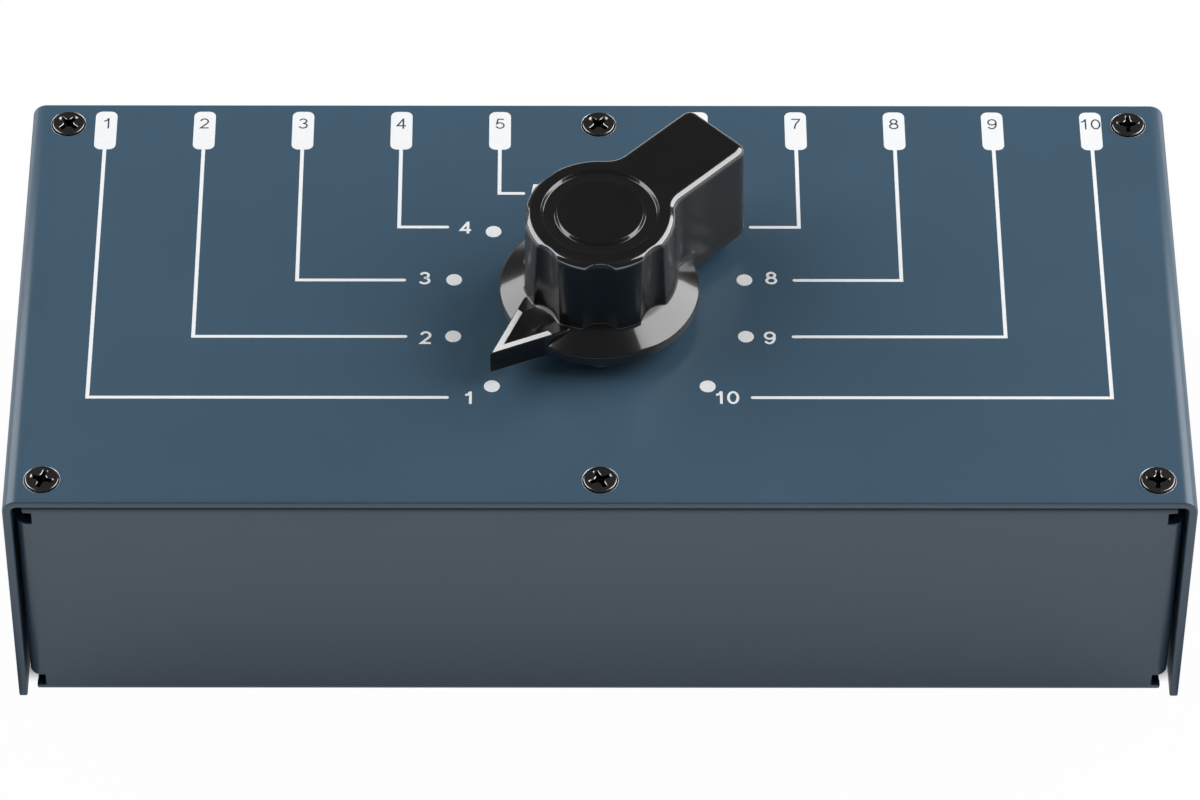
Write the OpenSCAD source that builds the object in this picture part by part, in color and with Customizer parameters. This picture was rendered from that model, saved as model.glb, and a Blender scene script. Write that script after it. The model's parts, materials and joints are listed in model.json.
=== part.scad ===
// Audio switch box: ten stereo inputs to one stereo output, chosen by a rotary selector on top.
// Millimetres, +Z up, front towards -Y. The origin is under the middle of the whole box, on the surface it stands on.

/* [Case] */
// Width over the cover's cheeks
body_w = 220; // [216:1:260]
// Depth of the cover, front edge to rear edge
body_d = 104; // [100:1:130]
// Height of the cover, top face to the cheeks' lower edges
body_h = 55; // [52:1:70]
// Thickness of the folded sheet
sheet_t = 1.6; // [1.2:0.1:2]
// Outside radius of the folds
bend_r = 2.3; // [2.1:0.1:3.5]
// How far the chassis walls stand behind the cover's front and rear edges
wall_recess = 0.8; // [0.3:0.1:2]
// Gap between a cheek and the chassis side
side_gap = 0.7; // [0.3:0.1:1.5]
// How far the chassis floor stands above the cheeks' lower edges
floor_lift = 0.1; // [0:0.1:1]
// Width of the chassis flanges under the cover
flange_w = 12; // [10:0.5:16]
// Length of the chassis side returns behind each wall
return_l = 9; // [5:0.5:14]
// Height of the relief notches at the chassis corners
notch_h = 2.8; // [1.5:0.1:4]
// Distance of the relief notches' inner ends from the chassis side
notch_in = 2.9; // [2.5:0.1:5]
// How far the flanges and floor stop short of the chassis side
flange_trim = 1.2; // [0.8:0.1:2]

/* [Cover screws] */
// Diameter of a countersunk head
screw_head_d = 6.1; // [5.6:0.1:6.4]
// Diameter of a cover screw's thread
screw_d = 2.9; // [2.4:0.1:3]
// Length of a cover screw, head included
screw_l = 8; // [7:0.5:10]
// How far a head stands above the cover
screw_proud = 0.4; // [0.05:0.05:0.6]
// Distance of the front screws from the front edge
screw_front = 5.7; // [5.5:0.1:7]
// Distance of the rear screws from the rear edge
screw_rear = 5.4; // [5.3:0.1:7]
// Distance of the end screws from the cheeks' outer faces
screw_side = 7.2; // [7:0.1:12]
// Diameter of a clinch nut under a flange
clinch_d = 5; // [4.4:0.1:5.2]
// Height of a clinch nut
clinch_h = 2.2; // [1.5:0.1:3]

/* [Feet] */
// Diameter of a rubber foot at the floor plate
foot_d = 12; // [8:0.5:16]
// Height of a rubber foot
foot_h = 2.8; // [2:0.1:5]
// Distance of a foot's centre from the nearest chassis side
foot_side = 16; // [10:1:30]
// Distance of a foot's centre from the nearest chassis wall
foot_end = 14; // [10:1:24]

/* [Knob] */
// Distance of the knob's axis from the cover's rear edge
knob_back = 54.6; // [52:0.1:58]
// Gap between the cover and the knob's underside
knob_gap = 4; // [3.4:0.1:6]
// Height of the knob, underside to top face
knob_h = 22; // [21:0.5:26]
// Diameter of the skirt
skirt_d = 37.6; // [36:0.2:42]
// Height of the skirt's rim
rim_h = 2.2; // [1.5:0.1:3]
// Height at which the skirt's cone meets the barrel, and of the pointer's top
shoulder_h = 5; // [4:0.1:6]
// Diameter of the barrel
barrel_d = 29; // [28:0.2:31]
// Depth of a finger flute in the barrel
flute_depth = 1.2; // [0.4:0.1:1.4]
// Radius of a finger flute
flute_r = 7.5; // [5:0.5:8.5]
// Width of the finger bar
bar_w = 16.2; // [13:0.2:16.6]
// Reach of the finger bar from the knob's axis
bar_reach = 32.2; // [26:0.2:34]
// Corner radius at the finger bar's end
bar_corner = 2.4; // [1.1:0.1:4]
// Radius of the fillets between bar and barrel
bar_fillet = 4.5; // [2:0.1:5.5]
// Reach of the pointer's tip from the knob's axis
pointer_reach = 28.8; // [26:0.2:34]
// Half angle of the pointer's tip, in degrees
pointer_half = 22; // [18:0.5:26]
// Width of the white inlay's two strokes
inlay_w = 1.1; // [0.6:0.1:1.6]
// Depth of the white inlay
inlay_t = 0.4; // [0.2:0.1:0.8]
// Outer diameter of the channel in the knob's top
channel_d = 22; // [18:0.2:24]
// Width of the channel in the knob's top
channel_w = 2.9; // [1:0.1:4]
// Depth of the channel in the knob's top
channel_depth = 0.6; // [0.3:0.1:1]
// Rounding of the knob's upper edges
knob_round = 1; // [0.4:0.1:1]
// Diameter of the brass insert
insert_d = 11; // [9:0.2:13]
// Diameter of the set screw
set_d = 4; // [3:0.1:5]

/* [Switch] */
// Diameter of the shaft
shaft_d = 6; // [5:0.05:6.4]
// Diameter of the bush round the shaft
bush_d = 9.5; // [9:0.1:11]
// Height of the bush above the cover
bush_rise = 2.5; // [1:0.1:3]
// Distance of the two fixing screws from the shaft's axis
fix_reach = 13.4; // [13:0.1:14.5]
// Diameter of a fixing screw's thread
fix_d = 2.9; // [2.4:0.1:3]
// Diameter of a fixing screw's domed head
fix_head_d = 4.6; // [4.4:0.1:5.6]
// Height of a fixing screw's domed head
fix_head_h = 1.6; // [1.2:0.1:2.4]
// Thickness of the mounting plate
plate_t = 1.5; // [1:0.1:2.5]
// Outer diameter of the detent housing
housing_d = 36; // [36:0.5:38]
// Height of the detent housing
housing_h = 8; // [7:0.5:10]
// Diameter of the detent wheel
wheel_d = 18; // [16:0.5:19]
// Diameter of the detent ball
ball_d = 3.2; // [2.4:0.1:3.6]
// Diameter of a wafer
wafer_d = 34; // [33:0.5:35]
// Thickness of a wafer
wafer_t = 1.6; // [1:0.1:2]
// Height of each wafer above or below the jack board
wafer_offset = 10.2; // [8:0.1:11]
// Diameter of a rotor
rotor_d = 16; // [13:0.5:17]
// Distance of the tie rods from the shaft's axis
tie_reach = 14.5; // [14:0.1:15]
// Diameter of a tie rod
tie_d = 2.4; // [2:0.1:2.8]

/* [Jacks] */
// Distance of the end sockets from the cheeks' outer faces
jack_side = 14.5; // [13:0.1:16]
// Diameter of a socket's bore
jack_bore = 6.5; // [6.45:0.05:6.8]
// Depth of a socket's bore
jack_depth = 29; // [24:0.5:30]
// Diameter of a socket's threaded nose
nose_d = 9.2; // [8.8:0.1:10]
// Width of a socket's body
jack_w = 15.9; // [14:0.1:16.5]
// Height of a socket's body
jack_h = 15.6; // [14.4:0.1:16.6]
// Length of a socket's body inside the case
jack_l = 27; // [26:0.5:28]
// Width of a socket's nut across its flats
nut_af = 12.7; // [11:0.1:13.4]
// Thickness of a socket's nut
nut_t = 3; // [2:0.1:4]
// Thickness of a socket's washer
washer_t = 0.8; // [0.5:0.1:1.5]
// Length of nose that shows past the nut
nose_show = 0.6; // [0.3:0.1:2]
// Thickness of the jack board
board_t = 1.6; // [1:0.1:2]
// Diameter of a socket's solder pin
pin_d = 1.2; // [0.8:0.1:1.6]
// Width of a ribbon lead
ribbon_w = 14; // [8:1:20]
// Thickness of a ribbon lead
ribbon_t = 0.9; // [0.6:0.1:1.2]

/* [Hidden] */
$fn = 64;
eps = 0.01;
run_clear = 0.05;   // shaft in its bush, radial
bore_clear = 0.15;  // screw, rod or pin in its hole, radial
move_clear = 0.5;   // moving piece to fixed piece, radial
wall_clear = 0.5;   // board and plates to the chassis

positions = 10;
step_angle = 30;
columns = positions + 1;
output_column = floor(columns / 2);
wall_out = sheet_t + washer_t + nut_t + nose_show;
rear_reach = max(0, wall_out - sheet_t - wall_recess);
front_y = -(body_d + rear_reach) / 2;
back_y = front_y + body_d;
cheek_z = foot_h - floor_lift;
top_z = cheek_z + body_h;
under_z = top_z - sheet_t;
floor_z = foot_h;
wall_h = under_z - floor_z;
wall_front = front_y + wall_recess;
wall_back = back_y - wall_recess;
inner_back = wall_back - sheet_t;
chassis_w = body_w - 2 * (sheet_t + side_gap);
notch_x = chassis_w / 2 - notch_in;

screw_xs = [-body_w / 2 + screw_side, 0, body_w / 2 - screw_side];
screw_ys = [front_y + screw_front, back_y - screw_rear];
head_h = (screw_head_d - screw_d) / 2;

axis_y = back_y - knob_back;
knob_z = top_z + knob_gap;
knob_top = knob_z + knob_h;
travel = step_angle * (positions - 1);
rest_angle = 90 + travel / 2;
insert_lift = 0.4;
insert_cap = 5.6;
insert_roof = 0.3;
insert_z = knob_z + insert_lift;
insert_h = knob_h - insert_lift - insert_cap;
set_z = knob_z + knob_h / 2;
set_side = 90;
inlay_edge = 0.2;
inlay_clear = 2.6;

plate_z = under_z - plate_t;
housing_z = plate_z - housing_h;
board_z = floor_z + wall_h / 2;
wafer_zs = [board_z + wafer_offset, board_z - wafer_offset];
tie_end = 1;
tie_nut_h = 2.4;
tie_nut_af = 5;
shaft_low = wafer_zs[1] - wafer_t / 2 - tie_nut_h;
shaft_short = 1;
shaft_top = insert_z + insert_h - shaft_short;
ring_t = 1;
ring_rim = 2;
ring_d = shaft_d + 2 * ring_rim;
wheel_t = 5;
wheel_gap = 0.3;
wheel_z = housing_z + (housing_h - wheel_t) / 2;
lug_rise = 2.6;
lug_reach = wheel_d / 2 + lug_rise;
cavity_r = lug_reach + move_clear;
lug_angle = 30;
stop_slack = 3;
stop_angle = 360 - travel - lug_angle - 2 * stop_slack;
stop_turn = 45;
lug_turn = stop_turn - (360 - travel) / 2;
spring_l = 4;
ring_gap = 0.3;
notches = 360 / step_angle;
ball_gap = 0.3;
ball_reach = wheel_d / 2 + ball_gap + ball_d / 2;
spring_gap = 0.2;
spring_d = ball_d - 2 * spring_gap;
spring_wall = 0.6;
rotor_t = 3;
blade_t = 0.4;
lug_w = 1.6;
lug_t = 0.4;
lug_over = 2.5;
lug_out = wafer_d / 2 + lug_over;
spacer_wall = 1;

jack_pitch = (body_w - 2 * jack_side) / (columns - 1);
row_offset = (board_t + jack_h) / 2;
jack_front = inner_back - jack_l;
pin_x = jack_w / 4;
pin_in = 3;
pin_short = 0.1;
pin_front = 4;
pin_rear = 7;
pin_ys = [jack_front + pin_front, inner_back - pin_rear];
board_gap = 1;
board_front = axis_y + lug_out + board_gap;
board_w = chassis_w - 2 * (sheet_t + wall_clear);
ribbon_y = axis_y + (wafer_d / 2 + lug_out) / 2;
ribbon_bend = 2.4;

side_names = ["left", "right"];

function column_x(i) = (i - output_column) * jack_pitch;
function column_name(i) =
    i == output_column ? "output" : str("input_", i < output_column ? i + 1 : i);
function jack_name(i, row) = str(column_name(i), "_", side_names[row], "_jack");
function row_z(row) = board_z + (row == 0 ? row_offset : -row_offset);
function foot_x(side) = side * (chassis_w / 2 - foot_side);
function foot_y(end) = end < 0 ? wall_front + foot_end : wall_back - foot_end;
function foot_name(end, side) =
    str("rubber_foot_", end < 0 ? "front" : "rear", "_", side < 0 ? "left" : "right");

JACKS = [for (i = [0:columns - 1]) for (row = [0, 1]) jack_name(i, row)];
FEET = [for (end = [-1, 1]) for (side = [-1, 1]) foot_name(end, side)];
FIXED = [
    "top_cover", "chassis", "cover_screws", "clinch_nuts",
    "switch_plate", "switch_bush", "switch_screws", "detent_housing", "detent_ball", "detent_spring",
    "wafer_left", "wafer_right", "wafer_contacts", "wafer_spacers", "tie_rods", "tie_rod_nuts",
    "jack_board", "ribbon_left", "ribbon_right", "jack_nuts", "jack_washers", "jack_pins",
];
TURNING = [
    "knob", "pointer_inlay", "knob_insert", "knob_set_screw", "switch_shaft", "shaft_ring",
    "detent_wheel", "rotor_left", "rotor_right", "rotor_blade_left", "rotor_blade_right",
];

panel_paint = "#455c6e";
wall_paint = "#4b545b";
knob_black = "#202022";
screw_black = "#2c2d30";

// A rectangle from the origin with chosen corners rounded: [low left, low right, high left, high right]
module rounded_rect(w, h, r, corners) {
    difference() {
        square([w, h]);
        for (k = [0:3])
            if (corners[k])
                translate([k % 2 * w, floor(k / 2) * h])
                    square(2 * r, center = true);
    }
    for (k = [0:3])
        if (corners[k])
            translate([k % 2 == 0 ? r : w - r, k < 2 ? r : h - r])
                circle(r);
}

// Carries a shape drawn with x along Y and y along Z through the length w, centred on X
module along_x(w) {
    translate([-w / 2, 0, 0])
        rotate([90, 0, 90])
            linear_extrude(w)
                children();
}

// Repeats its children at the six cover screws
module at_screws() {
    for (x = screw_xs)
        for (y = screw_ys)
            translate([x, y, 0])
                children();
}

// Repeats its children on the axis of every socket, with +Z pointing out of its mouth at the rear wall's inner face
module at_jacks() {
    for (i = [0:columns - 1])
        for (row = [0, 1])
            at_jack(i, row)
                children();
}

module at_jack(i, row) {
    translate([column_x(i), inner_back, row_z(row)])
        rotate([0, row * 180, 0])
            rotate([-90, 0, 0])
                children();
}

module on_axis(z) {
    translate([0, axis_y, z])
        children();
}

module top_cover() {
    color(panel_paint)
    difference() {
        translate([-body_w / 2, back_y, cheek_z])
            rotate([90, 0, 0])
                linear_extrude(body_d)
                    difference() {
                        rounded_rect(body_w, body_h, bend_r, [false, false, true, true]);
                        translate([sheet_t, -eps])
                            rounded_rect(body_w - 2 * sheet_t, body_h - sheet_t + eps, bend_r - sheet_t,
                                [false, false, true, true]);
                    }
        at_screws()
            countersink(bore_clear);
        on_axis(under_z - eps)
            cylinder(d = bush_d + 4 * bore_clear, h = sheet_t + 2 * eps);
        for (side = [-1, 1])
            translate([0, axis_y + side * fix_reach, under_z - eps])
                cylinder(d = fix_d + 2 * bore_clear, h = sheet_t + 2 * eps);
    }
}

// The cone and thread hole of a countersunk screw, widened by a radial clearance
module countersink(clear) {
    translate([0, 0, top_z - head_h - eps])
        cylinder(r1 = screw_d / 2 + clear - eps, r2 = screw_head_d / 2 + clear + eps, h = head_h + 2 * eps);
    translate([0, 0, under_z - sheet_t - eps])
        cylinder(d = screw_d + 2 * clear, h = 2 * sheet_t);
}

// The tray's folded section: floor, two walls and the flanges under the cover
module tray_section() {
    depth = wall_back - wall_front;
    translate([wall_front, floor_z])
        difference() {
            rounded_rect(depth, wall_h, bend_r, [true, true, true, true]);
            translate([sheet_t, sheet_t])
                rounded_rect(depth - 2 * sheet_t, wall_h - 2 * sheet_t, bend_r - sheet_t,
                    [true, true, true, true]);
            translate([flange_w, wall_h - sheet_t - bend_r])
                square([depth - 2 * flange_w, sheet_t + 2 * bend_r]);
        }
}

// The walls' ends in plan: each turns back into a short side return
module return_plan() {
    depth = wall_back - wall_front;
    inner_w = chassis_w - 2 * sheet_t;
    translate([-chassis_w / 2, wall_front])
        difference() {
            rounded_rect(chassis_w, depth, bend_r, [true, true, true, true]);
            translate([sheet_t, sheet_t])
                rounded_rect(inner_w, depth - 2 * sheet_t, bend_r - sheet_t, [true, true, true, true]);
            translate([-eps, return_l])
                square([chassis_w + 2 * eps, depth - 2 * return_l]);
            translate([chassis_w / 2 - notch_x + bend_r, -eps])
                square([2 * (notch_x - bend_r), depth + 2 * eps]);
        }
}

module chassis() {
    flange_end = chassis_w / 2 - flange_trim;
    color(wall_paint)
    difference() {
        union() {
            difference() {
                along_x(2 * flange_end)
                    tray_section();
                for (side = [-1, 1])
                    for (y = [wall_front, wall_back])
                        translate([side * (notch_x + body_w / 2), y, floor_z + wall_h / 2])
                            cube([body_w, 2 * sheet_t + bend_r, wall_h - 2 * bend_r + eps], center = true);
            }
            translate([0, 0, floor_z + bend_r + notch_h])
                linear_extrude(wall_h - 2 * (bend_r + notch_h))
                    return_plan();
        }
        at_screws()
            countersink(bore_clear);
        at_jacks()
            translate([0, 0, -eps])
                cylinder(d = nose_d + 2 * bore_clear, h = sheet_t + 2 * eps);
    }
}

// A cross recess, cut down from z = 0
module cross_recess(span, slot, depth) {
    for (turn = [0, 90])
        rotate(turn)
            translate([-span / 2, -slot / 2, -depth])
                cube([span, slot, 2 * depth]);
}

module cover_screws() {
    recess_depth = 1;
    recess_slot = 0.75;
    recess_span = 3.6;
    color(screw_black)
    at_screws()
        difference() {
            union() {
                translate([0, 0, top_z])
                    cylinder(d1 = screw_head_d, d2 = screw_head_d - screw_proud, h = screw_proud);
                translate([0, 0, top_z - head_h])
                    cylinder(d1 = screw_d, d2 = screw_head_d, h = head_h);
                translate([0, 0, top_z + screw_proud - screw_l])
                    cylinder(d = screw_d, h = screw_l - head_h);
            }
            translate([0, 0, top_z + screw_proud])
                cross_recess(recess_span, recess_slot, recess_depth);
        }
}

module clinch_nuts() {
    color("silver")
    at_screws()
        translate([0, 0, under_z - sheet_t - clinch_h])
            difference() {
                cylinder(d = clinch_d, h = clinch_h);
                translate([0, 0, -eps])
                    cylinder(d = screw_d + bore_clear, h = clinch_h + 2 * eps);
            }
}

module rubber_foot(end, side) {
    draft = 1.2;
    color("#1c1c1d")
    translate([foot_x(side), foot_y(end), 0])
        cylinder(d1 = foot_d - draft, d2 = foot_d, h = foot_h);
}

// Points along an arc from angle a to angle b, without its first point where skip is 1
function arc(centre, r, a, b, steps, skip = 0) =
    [for (k = [skip:steps]) centre + r * [cos(a + (b - a) * k / steps), sin(a + (b - a) * k / steps)]];

// The knob's plan with the pointer along +X: fluted barrel, fillets and finger bar, drawn in by inset
module knob_plan(inset) {
    flute_step = 45;
    last_flute = 90;
    barrel_r = barrel_d / 2 - inset;
    hollow_r = flute_r + inset;
    hollow_reach = barrel_d / 2 - flute_depth + flute_r;
    reach_sq = pow(hollow_reach, 2);
    ridge = acos((pow(barrel_r, 2) + reach_sq - pow(hollow_r, 2)) / (2 * barrel_r * hollow_reach));
    hollow = acos((pow(hollow_r, 2) + reach_sq - pow(barrel_r, 2)) / (2 * hollow_r * hollow_reach));
    half = bar_w / 2 - inset;
    fillet = bar_fillet + inset;
    corner = bar_corner - inset;
    end = bar_reach - inset - corner;
    centre_y = half + fillet;
    centre_x = sqrt(pow(barrel_r + fillet, 2) - pow(centre_y, 2));
    meet = atan2(centre_y, centre_x);
    flutes = [for (turn = [-last_flute:flute_step:last_flute]) each concat(
        arc(hollow_reach * [cos(turn), sin(turn)], hollow_r, turn + 180 + hollow, turn + 180 - hollow, 8, 1),
        turn < last_flute ? arc([0, 0], barrel_r, turn + ridge, turn + flute_step - ridge, 5, 1) : []
    )];
    polygon(concat(
        arc([0, 0], barrel_r, meet - 180, -last_flute - ridge, 4, 1),
        flutes,
        arc([0, 0], barrel_r, last_flute + ridge, 180 - meet, 4, 1),
        arc([-centre_x, centre_y], fillet, -meet, -90, 8, 1),
        arc([-end, half - corner], corner, 90, 180, 6),
        arc([-end, corner - half], corner, 180, 270, 6),
        arc([-centre_x, -centre_y], fillet, 90, meet, 8)
    ));
}

// The pointer's triangle, with both edges drawn in by edge and the base at the barrel
module pointer_plan(edge) {
    tip = pointer_reach - edge / sin(pointer_half);
    polygon([
        [0, -tip * tan(pointer_half)],
        [tip, 0],
        [0, tip * tan(pointer_half)],
    ]);
}

// The inlay's two strokes along the pointer's edges, cut square clear of the barrel
module inlay_plan() {
    start = barrel_d / 2 + inlay_clear;
    intersection() {
        difference() {
            pointer_plan(inlay_edge);
            pointer_plan(inlay_edge + inlay_w);
        }
        translate([start, -bar_reach])
            square([bar_reach, 2 * bar_reach]);
    }
}

module at_knob(z) {
    on_axis(z)
        rotate(rest_angle)
            children();
}

module knob() {
    base_x = barrel_d / 2 * cos(45);
    cone_slope = (shoulder_h - rim_h) / (skirt_d - barrel_d) * 2;
    cone_in = 2 * flute_depth;
    cone_top = shoulder_h + cone_slope * cone_in;
    color(knob_black)
    difference() {
        at_knob(knob_z)
            union() {
                rotate_extrude()
                    polygon([
                        [0, 0],
                        [skirt_d / 2, 0],
                        [skirt_d / 2, rim_h],
                        [barrel_d / 2 - cone_in, cone_top],
                        [0, cone_top],
                    ]);
                linear_extrude(knob_h - knob_round)
                    knob_plan(0);
                translate([0, 0, knob_h - knob_round - eps])
                    linear_extrude(knob_round / 2 + eps)
                        knob_plan(knob_round / 4);
                translate([0, 0, knob_h - knob_round / 2 - eps])
                    linear_extrude(knob_round / 2 + eps)
                        knob_plan(knob_round * 0.8);
                linear_extrude(shoulder_h)
                    intersection() {
                        pointer_plan(0);
                        translate([base_x, -bar_reach])
                            square([bar_reach, 2 * bar_reach]);
                    }
            }
        at_knob(knob_z + shoulder_h - inlay_t)
            linear_extrude(inlay_t + eps)
                inlay_plan();
        on_axis(knob_top - channel_depth)
            difference() {
                cylinder(d = channel_d, h = channel_depth + eps);
                translate([0, 0, -eps])
                    cylinder(d = channel_d - 2 * channel_w, h = channel_depth + 3 * eps);
            }
        on_axis(knob_z - eps)
            cylinder(d = insert_d, h = insert_z + insert_h + insert_roof - knob_z);
        set_screw_hole(barrel_d);
    }
}

// The radial hole for the set screw, out to the reach given
module set_screw_hole(reach) {
    at_knob(set_z)
        rotate(-set_side)
            rotate([0, 90, 0])
                cylinder(d = set_d + 2 * run_clear, h = reach);
}

module pointer_inlay() {
    color("white")
    at_knob(knob_z + shoulder_h - inlay_t)
        linear_extrude(inlay_t)
            inlay_plan();
}

module knob_insert() {
    color("#c8a04a")
    difference() {
        on_axis(insert_z)
            cylinder(d = insert_d, h = insert_h);
        on_axis(insert_z - eps)
            cylinder(d = shaft_d + 2 * run_clear, h = insert_h + 2 * eps);
        set_screw_hole(insert_d);
    }
}

module knob_set_screw() {
    sunk = 2;
    socket_d = set_d / 2;
    start = shaft_d / 2;
    length = barrel_d / 2 - flute_depth - sunk - start;
    color(screw_black)
    at_knob(set_z)
        rotate(-set_side)
            rotate([0, 90, 0])
                difference() {
                    translate([0, 0, start])
                        cylinder(d = set_d, h = length);
                    translate([0, 0, start + length - sunk])
                        cylinder(d = socket_d, h = sunk + eps, $fn = 6);
                }
}

module switch_shaft() {
    color("#c4c6c8")
    on_axis(shaft_low)
        difference() {
            cylinder(d = shaft_d, h = shaft_top - shaft_low);
            translate([0, 0, set_z - shaft_low])
                rotate(rest_angle - set_side)
                    translate([shaft_d / 2 - 2 * run_clear, -shaft_d / 2, -shaft_d])
                        cube([shaft_d, shaft_d, 3 * shaft_d]);
        }
}

module shaft_ring() {
    color("#6a6c70")
    on_axis(housing_z - ring_gap - ring_t)
        difference() {
            cylinder(d = ring_d, h = ring_t);
            translate([0, 0, -eps])
                cylinder(d = shaft_d + run_clear, h = ring_t + 2 * eps);
        }
}

module switch_plate() {
    color("#a8aaac")
    on_axis(plate_z)
        difference() {
            cylinder(d = housing_d, h = plate_t);
            translate([0, 0, -eps])
                cylinder(d = bush_d, h = plate_t + 2 * eps);
            fix_places()
                translate([0, 0, -eps])
                    cylinder(d = fix_d + bore_clear, h = plate_t + 2 * eps);
            tie_places()
                translate([0, 0, -eps])
                    cylinder(d = tie_d + bore_clear, h = plate_t + 2 * eps);
        }
}

module fix_places() {
    for (side = [-1, 1])
        translate([0, side * fix_reach, 0])
            children();
}

module tie_places() {
    for (side = [-1, 1])
        translate([side * tie_reach, 0, 0])
            children();
}

module switch_bush() {
    low = plate_z;
    color("#c8a04a")
    on_axis(low)
        difference() {
            cylinder(d = bush_d, h = top_z + bush_rise - low);
            translate([0, 0, -eps])
                cylinder(d = shaft_d + 2 * run_clear, h = top_z + bush_rise - low + 2 * eps);
        }
}

module switch_screws() {
    past_plate = 1.5;
    shank = sheet_t + plate_t + past_plate;
    recess_depth = 1;
    recess_span = 2.5;
    dome_r = (pow(fix_head_d / 2, 2) + pow(fix_head_h, 2)) / (2 * fix_head_h);
    slot = 0.8;
    color("#d0d2d4")
    on_axis(top_z)
        fix_places()
            difference() {
                union() {
                    translate([0, 0, -shank])
                        cylinder(d = fix_d, h = shank + eps);
                    intersection() {
                        cylinder(d = fix_head_d, h = fix_head_h);
                        translate([0, 0, fix_head_h - dome_r])
                            sphere(dome_r);
                    }
                }
                translate([0, 0, fix_head_h])
                    cross_recess(recess_span, slot, recess_depth);
            }
}

// A sector of the turn from angle a to angle b, out to the radius r
module sector(a, b, r) {
    far = r * 2;
    steps = 4;
    turns = [for (k = [0:steps]) a + (b - a) * k / steps];
    polygon(concat([[0, 0]], [for (turn = turns) far * [cos(turn), sin(turn)]]));
}

module detent_housing() {
    lid = (housing_h - wheel_t) / 2 - wheel_gap;
    room = housing_h - lid;
    fix_pocket = 2.5;
    color("#3a3c40")
    on_axis(housing_z)
        difference() {
            cylinder(d = housing_d, h = housing_h);
            difference() {
                translate([0, 0, lid])
                    cylinder(r = cavity_r, h = room + eps);
                translate([0, 0, lid - eps])
                    linear_extrude(room + 3 * eps)
                        intersection() {
                            difference() {
                                circle(cavity_r + 1);
                                circle(wheel_d / 2 + move_clear);
                            }
                            sector(stop_turn - stop_angle / 2, stop_turn + stop_angle / 2, cavity_r);
                        }
            }
            translate([0, 0, -eps])
                cylinder(r = shaft_d / 2 + move_clear, h = housing_h);
            translate([0, 0, wheel_z - housing_z + wheel_t / 2])
                rotate(stop_turn)
                    rotate([0, 90, 0])
                        cylinder(d = ball_d + 2 * run_clear, h = ball_reach + ball_d / 2 + spring_l);
            tie_places()
                translate([0, 0, -eps])
                    cylinder(d = tie_d + bore_clear, h = housing_h + 2 * eps);
            fix_places()
                translate([0, 0, housing_h - fix_pocket])
                    cylinder(d = fix_d + 2 * bore_clear, h = fix_pocket + eps);
        }
}

// A notched wheel. Its stop lug starts just clear of the housing's stop and turns clockwise through the travel
module detent_wheel() {
    notch_ease = 0.5;
    notch_r = ball_d / 2 + notch_ease;
    notch_depth = 0.5;
    lug_root = 2;
    color("#c9b98a")
    on_axis(wheel_z)
        difference() {
            union() {
                linear_extrude(wheel_t)
                    difference() {
                        circle(wheel_d / 2);
                        for (k = [0:notches - 1])
                            rotate(rest_angle + k * step_angle)
                                translate([wheel_d / 2 - notch_depth + notch_r, 0])
                                    circle(notch_r);
                    }
                linear_extrude(wheel_t)
                    intersection() {
                        difference() {
                            circle(lug_reach);
                            circle(wheel_d / 2 - lug_root);
                        }
                        sector(lug_turn - lug_angle / 2, lug_turn + lug_angle / 2, lug_reach);
                    }
            }
            translate([0, 0, -eps])
                cylinder(d = shaft_d + run_clear, h = wheel_t + 2 * eps);
        }
}

module detent_ball() {
    color("#d8dadc")
    on_axis(wheel_z + wheel_t / 2)
        rotate(stop_turn)
            translate([ball_reach, 0, 0])
                sphere(d = ball_d);
}

module detent_spring() {
    color("#b0b2b4")
    on_axis(wheel_z + wheel_t / 2)
        rotate(stop_turn)
            translate([ball_reach + ball_d / 2, 0, 0])
                rotate([0, 90, 0])
                    difference() {
                        cylinder(d = spring_d, h = spring_l);
                        translate([0, 0, -eps])
                            cylinder(d = spring_d - 2 * spring_wall, h = spring_l + 2 * eps);
                    }
}

module wafer(deck) {
    color("#8a5a2c")
    on_axis(wafer_zs[deck] - wafer_t / 2)
        difference() {
            cylinder(d = wafer_d, h = wafer_t);
            translate([0, 0, -eps])
                cylinder(d = rotor_d + 2 * move_clear, h = wafer_t + 2 * eps);
            tie_places()
                translate([0, 0, -eps])
                    cylinder(d = tie_d + bore_clear, h = wafer_t + 2 * eps);
        }
}

module wafer_contacts() {
    inner = rotor_d / 2 + 2 * move_clear;
    color("#d2c07a")
    for (deck = [0, 1])
        on_axis(wafer_zs[deck])
            for (k = [0:notches - 1])
                rotate(rest_angle + k * step_angle)
                    translate([inner, -lug_w / 2, deck == 0 ? wafer_t / 2 : -wafer_t / 2 - lug_t])
                        cube([lug_out - inner, lug_w, lug_t]);
}

module rotor(deck) {
    color("#efe9d8")
    on_axis(wafer_zs[deck] - rotor_t / 2)
        difference() {
            cylinder(d = rotor_d, h = rotor_t);
            translate([0, 0, -eps])
                cylinder(d = shaft_d + run_clear, h = rotor_t + 2 * eps);
        }
}

// A metal blade on the rotor's outer face, reaching towards the contact ring
module rotor_blade(deck) {
    inner = shaft_d / 2 + 1;
    blade_w = 2.4;
    color("#d8dadc")
    on_axis(wafer_zs[deck] + (deck == 0 ? rotor_t / 2 : -rotor_t / 2 - blade_t))
        linear_extrude(blade_t)
            difference() {
                union() {
                    circle(inner + blade_w);
                    rotate(rest_angle)
                        translate([0, -blade_w / 2])
                            square([rotor_d / 2 + 2 * move_clear, blade_w]);
                }
                circle(inner);
            }
}

// Tubes on the tie rods: housing to upper wafer, and upper wafer to lower wafer
module wafer_spacers() {
    high = wafer_zs[0] + wafer_t / 2;
    low = wafer_zs[1] + wafer_t / 2;
    color("#b8babc")
    on_axis(0)
        tie_places() {
            spacer(high, housing_z);
            spacer(low, wafer_zs[0] - wafer_t / 2);
        }
}

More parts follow.
